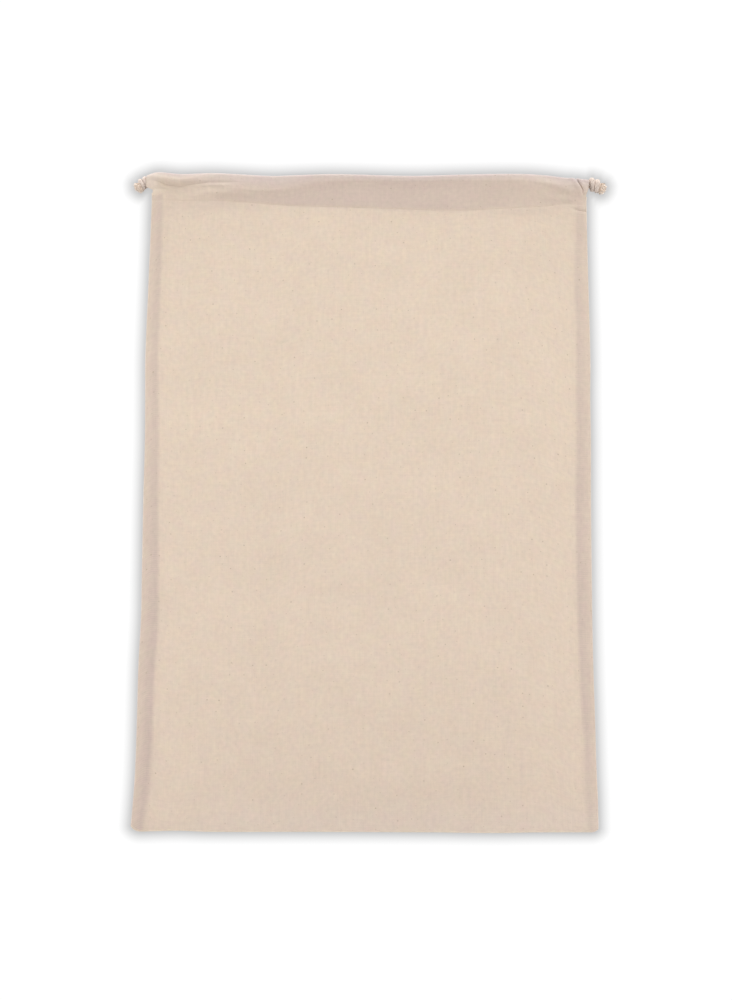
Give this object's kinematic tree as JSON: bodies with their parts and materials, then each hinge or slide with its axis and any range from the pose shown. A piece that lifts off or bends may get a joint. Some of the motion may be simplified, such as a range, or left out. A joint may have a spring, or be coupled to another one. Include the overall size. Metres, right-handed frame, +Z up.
{
  "type": "drawstring gift bag",
  "caption": "Flat unbleached cotton gift bag, folded at the bottom and sewn up the sides, with a hemmed casing along the mouth and knotted drawcords that close it.",
  "frame": {"origin": "middle of the bag's footprint, on the surface that it lies on", "axes": "+Y from the bottom fold to the mouth, +X to the right when seen from above, +Z up out of the front panel"},
  "size_m": [0.3256, 0.4514, 0.0164],
  "materials": {
    "calico": "matt plain-weave unbleached cotton with small seed specks",
    "cord_cotton": "matt twisted cotton cord with frayed ends"
  },
  "bodies": {
    "root": {"bag_cloth": "calico", "drawcord_left": "cord_cotton", "drawcord_right": "cord_cotton"}
  },
  "joints": []
}
